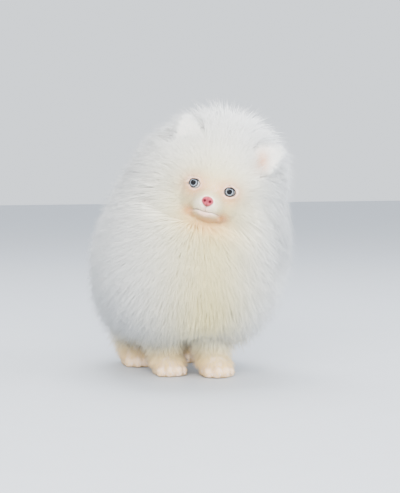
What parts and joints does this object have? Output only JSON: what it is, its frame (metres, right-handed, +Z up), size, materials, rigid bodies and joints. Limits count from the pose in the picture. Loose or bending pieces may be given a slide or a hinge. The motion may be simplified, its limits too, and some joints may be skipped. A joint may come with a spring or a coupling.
{
  "type": "pomeranian",
  "caption": "Life-size still model of a standing young pomeranian with a full stand-off coat, short muzzle, cupped ears and a plumed tail laid over the back.",
  "frame": {"origin": "on the floor, under the middle of the model's box", "axes": "+Z up, -Y the way the dog's body faces, +X the dog's left side"},
  "size_m": [0.227, 0.2632, 0.3027],
  "materials": {
    "coat": "long soft white hair",
    "leg_coat": "short cream hair",
    "ear_skin": "thin skin with short cream hair",
    "eye": "wet, clear",
    "nose_skin": "moist pink skin"
  },
  "bodies": {
    "root": {"head": "coat", "neck": "coat", "torso": "coat", "tail": "coat", "foreleg_left": "leg_coat", "foreleg_right": "leg_coat", "hindleg_left": "leg_coat", "hindleg_right": "leg_coat", "ear_left": "ear_skin", "ear_right": "ear_skin", "eye_left": "eye", "eye_right": "eye", "nose": "nose_skin"}
  },
  "joints": []
}
